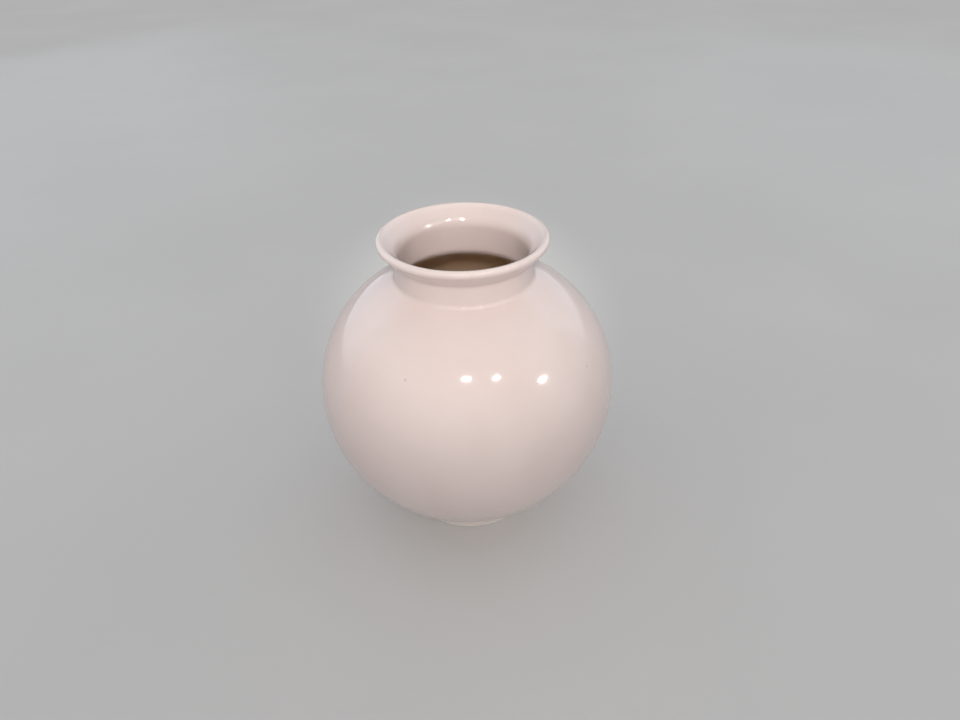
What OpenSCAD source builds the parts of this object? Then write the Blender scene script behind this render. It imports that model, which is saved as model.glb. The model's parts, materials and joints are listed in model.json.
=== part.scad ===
// Globe vase: an upright hollow globe on a low foot ring, with a short neck and a flared lip.
// Z is up and the foot's resting edge lies at z = 0. The vase is round about the Z axis.
// The clay is in six sections joined with slip, and three coats of glaze lie on it.

/* [Globe] */
// Diameter of the globe at its widest
globe_d = 150; // [146:1:154]
// Radius of the arc that draws the globe's side above its widest level
upper_arc = 64.5; // [63.5:0.5:65.5]
// Radius of the arc that draws the globe's side below its widest level
lower_arc = 73.5; // [72.5:0.5:74.5]
// Height of the widest level above the table
equator_z = 77.5; // [77:0.5:78.5]
// Wall of the globe, with its glaze
globe_wall = 5; // [4.5:0.1:5.4]
// Thickness of a coat of glaze
glaze = 0.4; // [0.3:0.05:0.5]

/* [Neck] */
// Outer diameter of the neck
neck_d = 67; // [65:0.5:69]
// Wall of the neck, with its glaze
neck_wall = 3; // [2.6:0.1:3.4]
// Radius of the hollow corner between the globe and the neck
shoulder_fillet = 2.5; // [2:0.1:3]
// Radius of the rounded corner where the throat opens into the globe
throat_round = 5.5; // [4.5:0.1:6]

/* [Lip] */
// Outer diameter of the lip
lip_d = 81; // [80:0.5:83]
// Height of the vase, which is the top of the lip
height = 158.5; // [158:0.5:160]
// Radius of the lip's rounded edge
edge_round = 1.9; // [1.7:0.1:2]
// Lean of the flare's outside away from upright, in degrees
flare_lean = 42; // [40:1:44]
// Radius of the hollow corner between the neck and the flare
flare_fillet = 3; // [2:0.1:3.5]
// Slope of the funnel inside the flare, in degrees
funnel_slope = 43; // [41:1:45]
// Radius of the round bend where the funnel meets the throat
funnel_round = 8; // [6:0.5:9]

/* [Foot] */
// Outer diameter of the foot
foot_d = 66; // [62:0.5:68]
// Radius of the hollow corner between the foot and the globe
foot_fillet = 3; // [2:0.1:3.5]
// Width of the resting ring
ring_w = 4.6; // [4.4:0.1:5.5]
// Height of the recess under the floor
recess = 3; // [2.6:0.1:3.4]
// Thickness of the floor, with its glaze
floor_t = 3.6; // [3.2:0.1:4]
// Height of the bare clay below the glaze
bare_z = 1.6; // [1.2:0.1:1.9]

/* [Hidden] */
$fn = 180;

// Steps along the arcs
globe_steps = 16;
corner_steps = 8;

// Radii of the walls
globe_r = globe_d / 2;
neck_r = neck_d / 2;
throat_r = neck_r - neck_wall;
foot_r = foot_d / 2;
well_r = foot_r - neck_wall;
recess_r = foot_r - ring_w;

// Edge of the floor disc, bevelled so that the disc sits in the ring
floor_inset = 2.5;
floor_edge_r = recess_r - floor_inset;
floor_bevel = 1;

// Radius of the resting ring's edges, straight wall kept beside a small corner, and radius of the
// corner above the glaze line in the recess
rest_round = 0.8;
corner_gap = 0.2;
recess_round = recess - bare_z - corner_gap;

// Centres of the two arcs that draw the globe, which meet upright at the widest level
upper_c = [globe_r - upper_arc, equator_z];
lower_c = [globe_r - lower_arc, equator_z];

// Height from the widest level to a corner circle that touches a globe arc; arc_r and arc_c_r
// are the arc's radius and its centre's distance from the axis, and the same for the corner
function corner_rise(arc_r, arc_c_r, corner_r, corner_c_r) =
    sqrt(pow(arc_r + corner_r, 2) - pow(corner_c_r - arc_c_r, 2));

// Corner between the globe and the neck, outside, and the angle at which it meets the arc
shoulder_r = neck_r + shoulder_fillet;
shoulder_rise = corner_rise(upper_arc, upper_c[0], shoulder_fillet, shoulder_r);
shoulder_c = [shoulder_r, equator_z + shoulder_rise];
shoulder_a = atan2(shoulder_rise, shoulder_r - upper_c[0]);

// Corner between the globe and the foot, outside
ankle_r = foot_r + foot_fillet;
ankle_rise = corner_rise(lower_arc, lower_c[0], foot_fillet, ankle_r);
ankle_c = [ankle_r, equator_z - ankle_rise];
ankle_a = atan2(ankle_rise, ankle_r - lower_c[0]);

// Corner where the throat opens into the globe
throat_c_r = throat_r + throat_round;
throat_rise = corner_rise(upper_arc - globe_wall, upper_c[0], throat_round, throat_c_r);
throat_c = [throat_c_r, equator_z + throat_rise];
throat_a = atan2(throat_rise, throat_c_r - upper_c[0]);

// Corner where the globe opens into the foot
well_c_r = well_r + throat_round;
well_rise = corner_rise(lower_arc - globe_wall, lower_c[0], throat_round, well_c_r);
well_c = [well_c_r, equator_z - well_rise];
well_a = atan2(well_rise, well_c_r - lower_c[0]);

// Rounded edge of the lip
edge_c = [lip_d / 2 - edge_round, height - edge_round];

// Height at which a circle touches the straight line that leaves the lip's edge facing angle a;
// gap is the lip edge's radius, plus the circle's radius if it lies across the line, or minus it
function touch_z(r, a, gap) = edge_c[1] + (gap - (r - edge_c[0]) * cos(a)) / sin(a);

// Hollow corner under the flare, and round bend from the funnel to the throat
flare_a = -flare_lean;
flare_c_r = neck_r + flare_fillet;
flare_c = [flare_c_r, touch_z(flare_c_r, flare_a, edge_round + flare_fillet)];
funnel_a = 90 + funnel_slope;
funnel_c_r = throat_r + funnel_round;
funnel_c = [funnel_c_r, touch_z(funnel_c_r, funnel_a, edge_round - funnel_round)];

// Seams between the sections of clay, on the straight walls between the corners
foot_seam_gap = 0.5;
neck_seam_gap = 0.8;
foot_seam_z = min(ankle_c[1], well_c[1]) - foot_seam_gap;
neck_seam_z = shoulder_c[1] + neck_seam_gap;
lip_seam_z = flare_c[1] - neck_seam_gap;

// Radius of the corner between the floor and the foot's inside, which ends below the foot's seam
well_round = foot_seam_z - recess - floor_t - corner_gap;

// Points along an arc, both ends included
function arc(c, r, a0, a1, n) =
    [for (i = [0:n]) c + r * [cos(a0 + (a1 - a0) * i / n), sin(a0 + (a1 - a0) * i / n)]];

// A list of points in the opposite order
function back(points) = [for (i = [len(points) - 1:-1:0]) points[i]];

// Every stretch below takes a depth d under the glazed surface, so d = glaze is the clay.

// Outside of the foot, from a height up to the seam with the bowl
function foot_side(d, z) = [[foot_r - d, z], [foot_r - d, foot_seam_z]];

// Outside of the lower bowl, from the foot's seam up to the widest level
function low_side(d) = concat(
    [[foot_r - d, foot_seam_z]],
    arc(ankle_c, foot_fillet + d, 180, 180 - ankle_a, corner_steps),
    arc(lower_c, lower_arc - d, -ankle_a, 0, globe_steps));

// Outside of the upper bowl, from the widest level up to the neck's seam
function high_side(d) = concat(
    arc(upper_c, upper_arc - d, 0, shoulder_a, globe_steps),
    arc(shoulder_c, shoulder_fillet + d, 180 + shoulder_a, 180, corner_steps),
    [[neck_r - d, neck_seam_z]]);

// Lip from its seam outside, up the flare, over the edge and down the funnel to its seam inside
function lip_side(d) = concat(
    [[neck_r - d, lip_seam_z]],
    arc(flare_c, flare_fillet + d, 180, 180 + flare_a, corner_steps),
    arc(edge_c, edge_round - d, flare_a, 90, 2 * corner_steps),
    arc(edge_c, edge_round - d, 90, funnel_a, corner_steps),
    arc(funnel_c, funnel_round - d, funnel_a, 180, corner_steps),
    [[throat_r + d, lip_seam_z]]);

// Lower corner of the throat, from the neck's seam down to where the tan glaze begins
function throat_corner(d) = concat(
    [[throat_r + d, neck_seam_z]],
    arc(throat_c, throat_round - d, 180, 180 + throat_a, corner_steps));

// Inside of the globe above its widest level, from the throat's corner down
function upper_inside(d) = arc(upper_c, upper_arc - globe_wall + d, throat_a, 0, globe_steps);

// Inside of the lower bowl, from the widest level down to the foot's seam
function low_inside(d) = concat(
    arc(lower_c, lower_arc - globe_wall + d, 0, -well_a, globe_steps),
    arc(well_c, throat_round - d, 180 - well_a, 180, corner_steps),
    [[well_r + d, foot_seam_z]]);

// Inside of the foot, from its seam down to the edge of the floor
function well_inside(d) = concat(
    [[well_r + d, foot_seam_z]],
    arc([well_r - well_round, recess + floor_t + well_round], well_round + d, 0, -90, corner_steps),
    [[floor_edge_r + floor_bevel, recess + floor_t - d]]);

// Underside of the floor and inside of the resting ring, down to a height
function recess_inside(d, z) = concat(
    [[floor_edge_r, recess + d]],
    arc([recess_r - recess_round, recess - recess_round], recess_round + d, 90, 0, corner_steps),
    [[recess_r + d, z]]);

// Bare resting edge, from the inside round to the outside
function rest_edge(d) = concat(
    arc([recess_r + d + rest_round, rest_round], rest_round, 180, 270, corner_steps),
    arc([foot_r - d - rest_round, rest_round], rest_round, 270, 360, corner_steps));

module turned(points) {
    rotate_extrude()
        polygon(points);
}

module foot_ring() {
    color([0.86, 0.83, 0.77])
        turned(concat(rest_edge(glaze), foot_side(glaze, bare_z), well_inside(glaze),
                      recess_inside(glaze, bare_z)));
}

module base_floor() {
    top = recess + floor_t - glaze;
    under = recess + glaze;
    color([0.86, 0.83, 0.77])
        turned([[0, under], [floor_edge_r, under], [floor_edge_r + floor_bevel, top], [0, top]]);
}

module lower_bowl() {
    color([0.88, 0.85, 0.79])
        turned(concat(low_side(glaze), low_inside(glaze)));
}

module upper_bowl() {
    color([0.9, 0.87, 0.82])
        turned(concat(high_side(glaze), throat_corner(glaze), upper_inside(glaze)));
}

module neck_collar() {
    color([0.88, 0.85, 0.79])
        turned([[neck_r - glaze, neck_seam_z], [neck_r - glaze, lip_seam_z],
                [throat_r + glaze, lip_seam_z], [throat_r + glaze, neck_seam_z]]);
}

module flared_lip() {
    color([0.9, 0.87, 0.82])
        turned(lip_side(glaze));
}

// White glaze from the foot over the globe and lip, and down round the throat's lower corner
function white_path(d) = concat(
    foot_side(d, bare_z),
    low_side(d),
    high_side(d),
    lip_side(d),
    throat_corner(d));

module outer_glaze() {
    color([0.93, 0.89, 0.87])
        turned(concat(white_path(0), back(white_path(glaze))));
}

// Tan glaze inside the globe, from the throat's lower corner down over the floor
function tan_path(d) = concat(
    upper_inside(d),
    low_inside(d),
    well_inside(d),
    [[0, recess + floor_t - d]]);

module inner_glaze() {
    color([0.68, 0.55, 0.42])
        turned(concat(tan_path(0), back(tan_path(glaze))));
}

// White glaze under the floor and down the inside of the resting ring
function base_path(d) = concat([[0, recess + d]], recess_inside(d, bare_z));

module base_glaze() {
    color([0.93, 0.89, 0.87])
        turned(concat(base_path(0), back(base_path(glaze))));
}

foot_ring();
base_floor();
lower_bowl();
upper_bowl();
neck_collar();
flared_lip();
outer_glaze();
inner_glaze();
base_glaze();
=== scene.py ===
import json
import math
import random

import bpy
from mathutils import Matrix, Vector, noise


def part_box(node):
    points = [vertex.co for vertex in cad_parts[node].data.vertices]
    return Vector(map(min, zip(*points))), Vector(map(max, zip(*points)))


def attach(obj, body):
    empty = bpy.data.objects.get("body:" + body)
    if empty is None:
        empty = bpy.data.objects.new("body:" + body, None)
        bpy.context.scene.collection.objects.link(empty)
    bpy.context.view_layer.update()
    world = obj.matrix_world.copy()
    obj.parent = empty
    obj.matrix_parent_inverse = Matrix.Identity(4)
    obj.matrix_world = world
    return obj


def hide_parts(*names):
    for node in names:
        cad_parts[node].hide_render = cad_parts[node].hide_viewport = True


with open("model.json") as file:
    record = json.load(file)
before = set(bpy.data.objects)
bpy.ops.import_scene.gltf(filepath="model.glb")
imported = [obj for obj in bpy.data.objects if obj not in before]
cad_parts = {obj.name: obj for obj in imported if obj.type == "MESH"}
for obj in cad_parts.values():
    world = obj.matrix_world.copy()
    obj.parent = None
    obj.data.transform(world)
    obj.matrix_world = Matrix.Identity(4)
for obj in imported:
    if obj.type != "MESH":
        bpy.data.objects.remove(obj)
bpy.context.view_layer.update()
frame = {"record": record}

# A glazed porcelain globe vase in metres: six sections of clay under three coats of glaze.
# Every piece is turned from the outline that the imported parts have, at a much finer step.

MM = 0.001
SEED = 21


# ---------------------------------------------------------------- sizes from the frame

def low(node):
    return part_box(node)[0]


def high(node):
    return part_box(node)[1]


GLAZE = high("outer_glaze")[2] - high("flared_lip")[2]
HEIGHT = high("outer_glaze")[2]
GLOBE_R = high("upper_bowl")[0] + GLAZE
EQUATOR_Z = high("lower_bowl")[2]
NECK_R = high("neck_collar")[0] + GLAZE
LIP_R = high("flared_lip")[0] + GLAZE
FOOT_R = high("foot_ring")[0] + GLAZE
FLOOR_TOP = high("base_floor")[2] + GLAZE
RECESS = low("base_floor")[2] - GLAZE
FOOT_SEAM_Z = high("foot_ring")[2]
NECK_SEAM_Z = low("neck_collar")[2]
LIP_SEAM_Z = high("neck_collar")[2]
BARE_Z = low("outer_glaze")[2]

# Sizes that a box doesn't show, and two corners that follow from the heights around them
UPPER_ARC = 64.5 * MM
LOWER_ARC = 73.5 * MM
GLOBE_WALL = 5 * MM
NECK_WALL = 3 * MM
SHOULDER_FILLET = 2.5 * MM
THROAT_ROUND = 5.5 * MM
EDGE_ROUND = 1.9 * MM
FLARE_LEAN = math.radians(42)
FLARE_FILLET = 3 * MM
FUNNEL_SLOPE = math.radians(43)
FUNNEL_ROUND = 8 * MM
FOOT_FILLET = 3 * MM
RING_W = 4.6 * MM
FLOOR_BEVEL = 1 * MM
FLOOR_INSET = 2.5 * MM
REST_ROUND = 0.8 * MM
CORNER_GAP = 0.2 * MM
RECESS_ROUND = RECESS - BARE_Z - CORNER_GAP
WELL_ROUND = FOOT_SEAM_Z - FLOOR_TOP - CORNER_GAP

THROAT_R = NECK_R - NECK_WALL
WELL_R = FOOT_R - NECK_WALL
RECESS_R = FOOT_R - RING_W
FLOOR_EDGE_R = RECESS_R - FLOOR_INSET
UPPER_C = (GLOBE_R - UPPER_ARC, EQUATOR_Z)
LOWER_C = (GLOBE_R - LOWER_ARC, EQUATOR_Z)

TURN = 2 * math.pi
RIGHT = math.pi / 2
SEGMENTS = 256
GLOBE_STEPS = 44
CORNER_STEPS = 12
EDGE_STEPS = 20
FOOT_STEPS = 8
NECK_STEPS = 4
DISC_STEPS = 12

# Points nearer than this are one point, and folds sharper than this are edges
SAME_POINT = 1e-3 * MM
SHARP_ANGLE = math.radians(35)


# ---------------------------------------------------------------- outline

def corner(arc_c, arc_r, corner_r, wall_r, side):
    """Centre of a corner circle between a wall and a globe arc, and its angle there.

    The corner lies above the widest level where side is 1, and below it where side is -1.
    """
    centre_r = wall_r + corner_r
    rise = math.sqrt((arc_r + corner_r) ** 2 - (centre_r - arc_c[0]) ** 2)
    return (centre_r, EQUATOR_Z + side * rise), math.atan2(rise, centre_r - arc_c[0])


SHOULDER_C, SHOULDER_A = corner(UPPER_C, UPPER_ARC, SHOULDER_FILLET, NECK_R, 1)
ANKLE_C, ANKLE_A = corner(LOWER_C, LOWER_ARC, FOOT_FILLET, FOOT_R, -1)
THROAT_C, THROAT_A = corner(UPPER_C, UPPER_ARC - GLOBE_WALL, THROAT_ROUND, THROAT_R, 1)
WELL_C, WELL_A = corner(LOWER_C, LOWER_ARC - GLOBE_WALL, THROAT_ROUND, WELL_R, -1)

EDGE_C = (LIP_R - EDGE_ROUND, HEIGHT - EDGE_ROUND)
FLARE_A = -FLARE_LEAN
FUNNEL_A = RIGHT + FUNNEL_SLOPE


def touch_z(r, angle, gap):
    """Height at which a circle touches the straight line that leaves the lip's edge."""
    return EDGE_C[1] + (gap - (r - EDGE_C[0]) * math.cos(angle)) / math.sin(angle)


FLARE_C = (NECK_R + FLARE_FILLET,
           touch_z(NECK_R + FLARE_FILLET, FLARE_A, EDGE_ROUND + FLARE_FILLET))
FUNNEL_C = (THROAT_R + FUNNEL_ROUND,
            touch_z(THROAT_R + FUNNEL_ROUND, FUNNEL_A, EDGE_ROUND - FUNNEL_ROUND))


def arc(centre, radius, start, end, steps):
    """Points along an arc, both ends included."""
    angles = [start + (end - start) * i / steps for i in range(steps + 1)]
    return [(centre[0] + radius * math.cos(a), centre[1] + radius * math.sin(a))
            for a in angles]


def line(start, end, steps):
    """Points along a straight line, both ends included."""
    return [(start[0] + (end[0] - start[0]) * i / steps,
             start[1] + (end[1] - start[1]) * i / steps) for i in range(steps + 1)]


# Each stretch below takes a depth d under the glazed surface, so d = GLAZE is the clay.

def foot_side(d, z):
    return line((FOOT_R - d, z), (FOOT_R - d, FOOT_SEAM_Z), FOOT_STEPS)


def low_side(d):
    return ([(FOOT_R - d, FOOT_SEAM_Z)]
            + arc(ANKLE_C, FOOT_FILLET + d, math.pi, math.pi - ANKLE_A, CORNER_STEPS)
            + arc(LOWER_C, LOWER_ARC - d, -ANKLE_A, 0, GLOBE_STEPS))


def high_side(d):
    return (arc(UPPER_C, UPPER_ARC - d, 0, SHOULDER_A, GLOBE_STEPS)
            + arc(SHOULDER_C, SHOULDER_FILLET + d, math.pi + SHOULDER_A, math.pi, CORNER_STEPS)
            + [(NECK_R - d, NECK_SEAM_Z)])


def neck_side(d):
    return line((NECK_R - d, NECK_SEAM_Z), (NECK_R - d, LIP_SEAM_Z), NECK_STEPS)


def lip_side(d):
    return ([(NECK_R - d, LIP_SEAM_Z)]
            + arc(FLARE_C, FLARE_FILLET + d, math.pi, math.pi + FLARE_A, CORNER_STEPS)
            + arc(EDGE_C, EDGE_ROUND - d, FLARE_A, RIGHT, EDGE_STEPS)
            + arc(EDGE_C, EDGE_ROUND - d, RIGHT, FUNNEL_A, CORNER_STEPS)
            + arc(FUNNEL_C, FUNNEL_ROUND - d, FUNNEL_A, math.pi, CORNER_STEPS)
            + [(THROAT_R + d, LIP_SEAM_Z)])


def throat_side(d):
    return line((THROAT_R + d, LIP_SEAM_Z), (THROAT_R + d, NECK_SEAM_Z), NECK_STEPS)


def throat_corner(d):
    return arc(THROAT_C, THROAT_ROUND - d, math.pi, math.pi + THROAT_A, CORNER_STEPS)


def upper_inside(d):
    return arc(UPPER_C, UPPER_ARC - GLOBE_WALL + d, THROAT_A, 0, GLOBE_STEPS)


def low_inside(d):
    return (arc(LOWER_C, LOWER_ARC - GLOBE_WALL + d, 0, -WELL_A, GLOBE_STEPS)
            + arc(WELL_C, THROAT_ROUND - d, math.pi - WELL_A, math.pi, CORNER_STEPS)
            + [(WELL_R + d, FOOT_SEAM_Z)])


def well_inside(d):
    centre = (WELL_R - WELL_ROUND, FLOOR_TOP + WELL_ROUND)
    return ([(WELL_R + d, FOOT_SEAM_Z)]
            + arc(centre, WELL_ROUND + d, 0, -RIGHT, CORNER_STEPS)
            + [(FLOOR_EDGE_R + FLOOR_BEVEL, FLOOR_TOP - d)])


def recess_inside(d, z):
    centre = (RECESS_R - RECESS_ROUND, RECESS - RECESS_ROUND)
    return ([(FLOOR_EDGE_R, RECESS + d)]
            + arc(centre, RECESS_ROUND + d, RIGHT, 0, CORNER_STEPS)
            + [(RECESS_R + d, z)])


def rest_edge(d):
    inner = (RECESS_R + d + REST_ROUND, REST_ROUND)
    outer = (FOOT_R - d - REST_ROUND, REST_ROUND)
    return (arc(inner, REST_ROUND, math.pi, 1.5 * math.pi, CORNER_STEPS)
            + arc(outer, REST_ROUND, 1.5 * math.pi, TURN, CORNER_STEPS))


def disc(r, z):
    """Points of a flat disc, from the axis out to its edge."""
    return line((0, z), (r, z), DISC_STEPS)


def white_path(d):
    return (foot_side(d, BARE_Z) + low_side(d) + high_side(d) + neck_side(d) + lip_side(d)
            + throat_side(d) + throat_corner(d))


def tan_path(d):
    return (upper_inside(d) + low_inside(d) + well_inside(d)
            + disc(FLOOR_EDGE_R, FLOOR_TOP - d)[::-1])


def base_path(d):
    return disc(FLOOR_EDGE_R, RECESS + d) + recess_inside(d, BARE_Z)


def coat(path):
    """Closed outline of a coat of glaze that lies on the clay."""
    return path(0) + path(GLAZE)[::-1]


OUTLINES = {
    "foot_ring": (rest_edge(GLAZE) + foot_side(GLAZE, BARE_Z) + well_inside(GLAZE)
                  + recess_inside(GLAZE, BARE_Z)),
    "base_floor": (disc(FLOOR_EDGE_R, RECESS + GLAZE)
                   + disc(FLOOR_EDGE_R + FLOOR_BEVEL, FLOOR_TOP - GLAZE)[::-1]),
    "lower_bowl": low_side(GLAZE) + low_inside(GLAZE),
    "upper_bowl": (high_side(GLAZE) + [(THROAT_R + GLAZE, NECK_SEAM_Z)]
                   + throat_corner(GLAZE) + upper_inside(GLAZE)),
    "neck_collar": neck_side(GLAZE) + throat_side(GLAZE),
    "flared_lip": lip_side(GLAZE),
    "outer_glaze": coat(white_path),
    "inner_glaze": coat(tan_path),
    "base_glaze": coat(base_path),
}


# ---------------------------------------------------------------- meshes

# How far the clay strays from a true round, slowly and quickly, and over what widths
WOBBLE = 0.12 * MM
WOBBLE_WIDTH = 45 * MM
RIPPLE = 0.012 * MM
RIPPLE_WIDTH = 13 * MM

# How far the glaze draws back from its line on the foot, and over what width and height
CREEP = 0.45 * MM
CREEP_WIDTH = 5 * MM
CREEP_REACH = 2 * MM


def uneven(place):
    """A point of a true outline, drawn a little towards the axis as hand-finished clay is."""
    slow = 1 + noise.noise(place / WOBBLE_WIDTH)
    quick = 1 + noise.noise(place / RIPPLE_WIDTH)
    pull = (WOBBLE * slow + RIPPLE * quick) / 2
    keep = 1 - pull / GLOBE_R
    return Vector((place.x * keep, place.y * keep, place.z))


def crept(place):
    """A point of a coat of glaze, raised near its wavy lower edge on the foot."""
    near = max(0.0, 1 - (place.z - BARE_Z) / CREEP_REACH)
    wave = 1 + noise.noise(Vector((place.x, place.y, 0)) / CREEP_WIDTH)
    return place + Vector((0, 0, CREEP * near ** 2 * wave / 2))


def sharp_points(outline):
    """Drops a point that repeats the one before it."""
    kept = []
    for point in outline:
        if not kept or math.dist(point, kept[-1]) > SAME_POINT:
            kept.append(point)
    if math.dist(kept[0], kept[-1]) < SAME_POINT:
        kept.pop()
    return kept


def turned(name, outline, glazed):
    """A closed outline turned round the axis, as one smooth closed mesh."""
    points = sharp_points(outline)
    verts, rings = [], []
    for r, z in points:
        if r < 1e-6:
            rings.append([len(verts)] * SEGMENTS)
            verts.append((0, 0, z))
            continue
        rings.append(list(range(len(verts), len(verts) + SEGMENTS)))
        for k in range(SEGMENTS):
            angle = TURN * k / SEGMENTS
            place = Vector((r * math.cos(angle), r * math.sin(angle), z))
            if glazed:
                place = crept(place)
            verts.append(uneven(place))
    faces = []
    for a, b in zip(rings, rings[1:] + rings[:1]):
        for k in range(SEGMENTS):
            m = (k + 1) % SEGMENTS
            corners = [a[k], a[m], b[m], b[k]]
            corners = [v for i, v in enumerate(corners) if v not in corners[:i]]
            if len(corners) > 2:
                faces.append(corners)
    mesh = bpy.data.meshes.new(name)
    mesh.from_pydata(verts, [], faces)
    mesh.validate()
    mesh.shade_smooth()
    mesh.set_sharp_from_angle(angle=SHARP_ANGLE)
    piece = bpy.data.objects.new(name, mesh)
    bpy.context.scene.collection.objects.link(piece)
    return piece


# ---------------------------------------------------------------- materials

class Nodes:
    """A material's node tree, built one node at a time."""

    def __init__(self, name):
        self.material = bpy.data.materials.new(name)
        self.material.use_nodes = True
        self.tree = self.material.node_tree
        self.shader = self.tree.nodes["Principled BSDF"]
        self.place = self.new("ShaderNodeTexCoord").outputs["Object"]

    def new(self, kind, **settings):
        node = self.tree.nodes.new(kind)
        for key, value in settings.items():
            setattr(node, key, value)
        return node

    def link(self, source, target):
        self.tree.links.new(source, target)

    def put(self, socket, value):
        """Links a socket's source, or sets its value."""
        if isinstance(value, bpy.types.NodeSocket):
            self.link(value, socket)
        else:
            socket.default_value = value

    def noise(self, size, detail=2.0, roughness=0.5, offset=0.0):
        """Noise whose features are about size metres wide."""
        move = self.new("ShaderNodeVectorMath", operation="ADD")
        self.link(self.place, move.inputs[0])
        move.inputs[1].default_value = (offset, offset, offset)
        node = self.new("ShaderNodeTexNoise")
        self.link(move.outputs[0], node.inputs["Vector"])
        node.inputs["Scale"].default_value = 1 / size
        node.inputs["Detail"].default_value = detail
        node.inputs["Roughness"].default_value = roughness
        return node.outputs["Fac"]

    def ramp(self, value, start, end, low=0.0, high=1.0):
        """Value from start to end, mapped to low to high and held there."""
        node = self.new("ShaderNodeMapRange", interpolation_type="SMOOTHSTEP")
        self.put(node.inputs["Value"], value)
        for name, number in (("From Min", start), ("From Max", end),
                             ("To Min", low), ("To Max", high)):
            node.inputs[name].default_value = number
        return node.outputs["Result"]

    def math(self, operation, a, b):
        node = self.new("ShaderNodeMath", operation=operation)
        self.put(node.inputs[0], a)
        self.put(node.inputs[1], b)
        return node.outputs[0]

    def mix(self, factor, a, b):
        """Colour a, turning to colour b as factor goes from 0 to 1."""
        node = self.new("ShaderNodeMix", data_type="RGBA")
        self.put(node.inputs["Factor"], factor)
        for socket, colour in ((node.inputs[6], a), (node.inputs[7], b)):
            self.put(socket, colour if isinstance(colour, bpy.types.NodeSocket)
                     else (*colour, 1.0))
        return node.outputs[2]

    def height(self):
        split = self.new("ShaderNodeSeparateXYZ")
        self.link(self.place, split.inputs[0])
        return split.outputs["Z"]

    def spots(self, places):
        """1 inside each of the small round spots, and 0 elsewhere."""
        total = None
        for centre, radius in places:
            gap = self.new("ShaderNodeVectorMath", operation="DISTANCE")
            self.link(self.place, gap.inputs[0])
            gap.inputs[1].default_value = centre
            spot = self.ramp(gap.outputs["Value"], radius * 0.4, radius, 1.0, 0.0)
            total = spot if total is None else self.math("MAXIMUM", total, spot)
        return total

    def bump(self, height, depth, before=None):
        node = self.new("ShaderNodeBump")
        node.inputs["Strength"].default_value = 1.0
        node.inputs["Distance"].default_value = depth
        self.link(height, node.inputs["Height"])
        if before is not None:
            self.link(before, node.inputs["Normal"])
        return node.outputs["Normal"]

    def finish(self, colour, roughness, normal, ior=1.5):
        self.put(self.shader.inputs["Base Color"], colour)
        self.put(self.shader.inputs["Roughness"], roughness)
        self.link(normal, self.shader.inputs["Normal"])
        self.shader.inputs["IOR"].default_value = ior
        return self.material


def on_globe(azimuth, height):
    """Point of the globe's outside at an azimuth in degrees and a height in metres."""
    lift = height - EQUATOR_Z
    arc_r = UPPER_ARC if lift > 0 else LOWER_ARC
    r = GLOBE_R - arc_r + math.sqrt(arc_r ** 2 - lift ** 2)
    a = math.radians(azimuth)
    return (r * math.cos(a), r * math.sin(a), height)


def specks():
    """Iron specks: two on the front, and some smaller ones on the back half."""
    draw = random.Random(SEED)
    found = [(on_globe(-115.6, 116.3 * MM), 0.9 * MM), (on_globe(-35.3, 108.5 * MM), 0.8 * MM)]
    for _ in range(9):
        place = on_globe(draw.uniform(0, 180), draw.uniform(25, 128) * MM)
        found.append((place, draw.uniform(0.3, 0.6) * MM))
    return found


def white_glaze():
    n = Nodes("white_glaze")
    cloud = n.ramp(n.noise(48 * MM, detail=3.0), 0.35, 0.65)
    base = n.mix(cloud, (0.70, 0.592, 0.568), (0.73, 0.625, 0.605))
    # Lighter over the top 2 mm of the lip: partly thinner glaze there, partly a painted
    # highlight along the rim's top edge.
    thin_glaze_and_rim_highlight = n.ramp(n.height(), HEIGHT - 2.2 * MM, HEIGHT - 0.2 * MM)
    base = n.mix(n.math("MULTIPLY", thin_glaze_and_rim_highlight, 0.5), base, (0.80, 0.71, 0.68))
    foot = n.ramp(n.height(), BARE_Z, BARE_Z + 1.6 * MM, 0.5, 0.0)
    base = n.mix(foot, base, (0.66, 0.61, 0.59))
    base = n.mix(n.math("MULTIPLY", n.spots(specks()), 0.26), base, (0.16, 0.10, 0.07))
    rough = n.ramp(n.noise(20 * MM, detail=4.0, offset=3.0), 0.3, 0.7, 0.05, 0.09)
    normal = n.bump(n.noise(16 * MM, detail=1.0, offset=1.0), 0.035 * MM)
    normal = n.bump(n.noise(2.6 * MM, detail=1.0, offset=2.0), 0.003 * MM, normal)
    return n.finish(base, rough, normal, ior=1.52)


def tan_glaze():
    n = Nodes("tan_glaze")
    cloud = n.ramp(n.noise(30 * MM, detail=4.0), 0.3, 0.7)
    base = n.mix(cloud, (0.74, 0.555, 0.385), (0.78, 0.595, 0.425))
    grain = n.ramp(n.noise(1.1 * MM, detail=2.0, offset=1.0), 0.60, 0.72)
    base = n.mix(n.math("MULTIPLY", grain, 0.25), base, (0.55, 0.40, 0.26))
    rough = n.ramp(n.noise(9 * MM, detail=3.0, offset=2.0), 0.3, 0.7, 0.30, 0.48)
    normal = n.bump(n.noise(3 * MM, detail=3.0, offset=3.0), 0.03 * MM)
    return n.finish(base, rough, normal, ior=1.48)


def bare_clay():
    n = Nodes("clay")
    cloud = n.ramp(n.noise(12 * MM, detail=5.0), 0.3, 0.7)
    base = n.mix(cloud, (0.68, 0.645, 0.61), (0.75, 0.72, 0.69))
    worn = n.ramp(n.height(), 0.0, 0.5 * MM, 1.0, 0.0)
    dirt = n.math("MULTIPLY", worn, n.ramp(n.noise(5 * MM, detail=6.0, offset=1.0), 0.42, 0.62))
    base = n.mix(n.math("MULTIPLY", dirt, 0.45), base, (0.40, 0.35, 0.31))
    rough = n.ramp(n.noise(2 * MM, detail=3.0, offset=2.0), 0.3, 0.7, 0.72, 0.92)
    normal = n.bump(n.noise(0.45 * MM, detail=3.0, roughness=0.7, offset=3.0), 0.04 * MM)
    return n.finish(base, rough, normal, ior=1.45)


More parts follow.
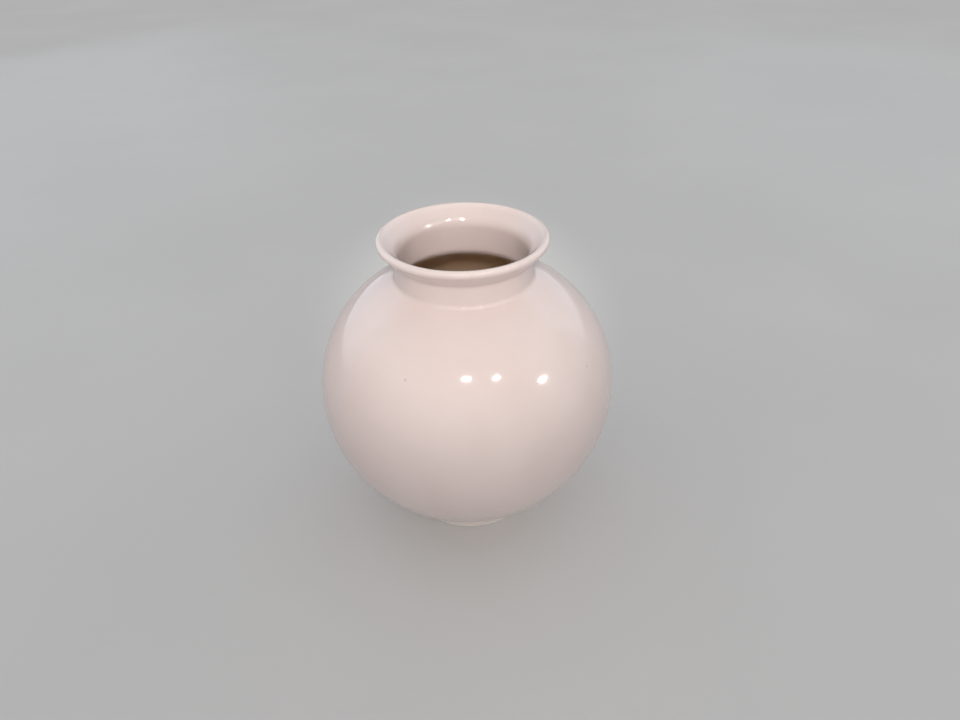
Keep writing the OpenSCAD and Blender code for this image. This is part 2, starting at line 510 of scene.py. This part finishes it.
def pale_floor():
    n = Nodes("pale_floor")
    cloud = n.ramp(n.noise(0.25, detail=4.0), 0.3, 0.7)
    base = n.mix(cloud, (0.60, 0.60, 0.595), (0.625, 0.625, 0.62))
    normal = n.bump(n.noise(1.5 * MM, detail=3.0), 0.05 * MM)
    return n.finish(base, 0.75, normal)


# ---------------------------------------------------------------- the vase

MATERIALS = {"clay": bare_clay(), "white_glaze": white_glaze(), "tan_glaze": tan_glaze()}
SLOTS = {part["node"]: part["material_slot"] for part in frame["record"]["subparts"]}

for node, outline in OUTLINES.items():
    slot = SLOTS[node]
    piece = turned(node + "_turned", outline, slot != "clay")
    piece.data.materials.append(MATERIALS[slot])
    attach(piece, "root")
    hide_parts(node)


# ---------------------------------------------------------------- floor, light and camera

def floor():
    half = 4.0
    mesh = bpy.data.meshes.new("floor")
    mesh.from_pydata([(-half, -half, 0), (half, -half, 0), (half, half, 0), (-half, half, 0)],
                     [], [(0, 1, 2, 3)])
    mesh.materials.append(pale_floor())
    obj = bpy.data.objects.new("floor", mesh)
    bpy.context.scene.collection.objects.link(obj)


def direction(azimuth, elevation):
    a, e = math.radians(azimuth), math.radians(elevation)
    return Vector((math.cos(a) * math.cos(e), math.sin(a) * math.cos(e), math.sin(e)))


def softbox(name, azimuth, elevation, distance, width, height, radiance, colour):
    """A rectangle of even light that only shows as a reflection in the glaze.

    It faces the globe from an azimuth and elevation in degrees.
    """
    light = bpy.data.lights.new(name, "AREA")
    light.shape = "RECTANGLE"
    light.size, light.size_y = width, height
    light.energy = radiance * math.pi * width * height
    light.color = colour
    lamp = bpy.data.objects.new(name, light)
    away = direction(azimuth, elevation)
    lamp.location = Vector((0, 0, EQUATOR_Z)) + away * distance
    lamp.rotation_euler = away.to_track_quat("Z", "Y").to_euler()
    lamp.visible_camera = False
    lamp.visible_diffuse = False
    bpy.context.scene.collection.objects.link(lamp)


WARM = (1.0, 0.93, 0.87)
COOL = (0.80, 0.90, 1.0)


def key_light():
    """Soft directional light from the front, over the camera's shoulder."""
    light = bpy.data.lights.new("key", "SUN")
    light.energy = 0.78
    light.angle = math.radians(14)
    light.color = WARM
    lamp = bpy.data.objects.new("key", light)
    lamp.rotation_euler = direction(-86, 43).to_track_quat("Z", "Y").to_euler()
    lamp.visible_glossy = False
    bpy.context.scene.collection.objects.link(lamp)


def mouth_light():
    """A soft-edged beam over the front of the lip, into the throat."""
    light = bpy.data.lights.new("mouth", "SPOT")
    light.energy = 260
    light.color = WARM
    light.spot_size = math.radians(4.0)
    light.spot_blend = 1.0
    light.shadow_soft_size = 0.1
    lamp = bpy.data.objects.new("mouth", light)
    away = direction(-90, 35)
    lamp.location = Vector((0, THROAT_R, NECK_SEAM_Z)) + away * 1.2
    lamp.rotation_euler = away.to_track_quat("Z", "Y").to_euler()
    lamp.visible_glossy = False
    bpy.context.scene.collection.objects.link(lamp)


def world_light():
    """Pale light from every side, turning a little bluer behind the vase."""
    world = bpy.data.worlds.new("studio")
    world.use_nodes = True
    tree = world.node_tree
    background = tree.nodes["Background"]
    way = tree.nodes.new("ShaderNodeTexCoord")
    split = tree.nodes.new("ShaderNodeSeparateXYZ")
    ramp = tree.nodes.new("ShaderNodeMapRange")
    ramp.interpolation_type = "SMOOTHSTEP"
    ramp.inputs["From Min"].default_value = -1.0
    ramp.inputs["From Max"].default_value = 1.0
    mix = tree.nodes.new("ShaderNodeMix")
    mix.data_type = "RGBA"
    mix.inputs[6].default_value = (0.99, 0.97, 0.95, 1.0)
    mix.inputs[7].default_value = (0.92, 0.97, 1.05, 1.0)
    tree.links.new(way.outputs["Generated"], split.inputs[0])
    tree.links.new(split.outputs["Y"], ramp.inputs["Value"])
    tree.links.new(ramp.outputs["Result"], mix.inputs["Factor"])
    tree.links.new(mix.outputs[2], background.inputs["Color"])
    background.inputs["Strength"].default_value = 0.57
    bpy.context.scene.world = world


def lights():
    key_light()
    mouth_light()
    world_light()
    softbox("left", 140, 23, 1.5, 1.7, 1.2, 0.85, COOL)
    softbox("right", 45, 27, 1.5, 1.3, 1.1, 0.8, COOL)
    softbox("lamp_1", -91.0, 43.6, 1.7, 0.14, 0.05, 600, WARM)
    softbox("lamp_2", -63.2, 40.6, 1.7, 0.10, 0.045, 600, WARM)
    softbox("lamp_3", -27.8, 22.7, 1.7, 0.15, 0.05, 600, WARM)


def camera():
    """The camera stands in front of the vase, above it, and looks down at it."""
    yaw, pitch, roll = math.radians(1.26), math.radians(33.85), math.radians(-1.24)
    away = Vector((math.sin(yaw) * math.cos(pitch), math.cos(yaw) * math.cos(pitch),
                   -math.sin(pitch)))
    right = Vector((math.cos(yaw), -math.sin(yaw), 0))
    up = right.cross(away)
    tilted = right * math.cos(roll) + up * math.sin(roll)
    upright = up * math.cos(roll) - right * math.sin(roll)
    data = bpy.data.cameras.new("camera")
    data.sensor_width = 36.0
    data.lens = 27.04
    data.clip_start = 0.01
    obj = bpy.data.objects.new("camera", data)
    turn = Matrix((tilted, upright, -away)).transposed().to_4x4()
    obj.matrix_world = Matrix.Translation((0, -309.8 * MM, 295.7 * MM)) @ turn
    bpy.context.scene.collection.objects.link(obj)
    bpy.context.scene.camera = obj


floor()
lights()
camera()
bpy.context.scene.view_settings.view_transform = "Standard"
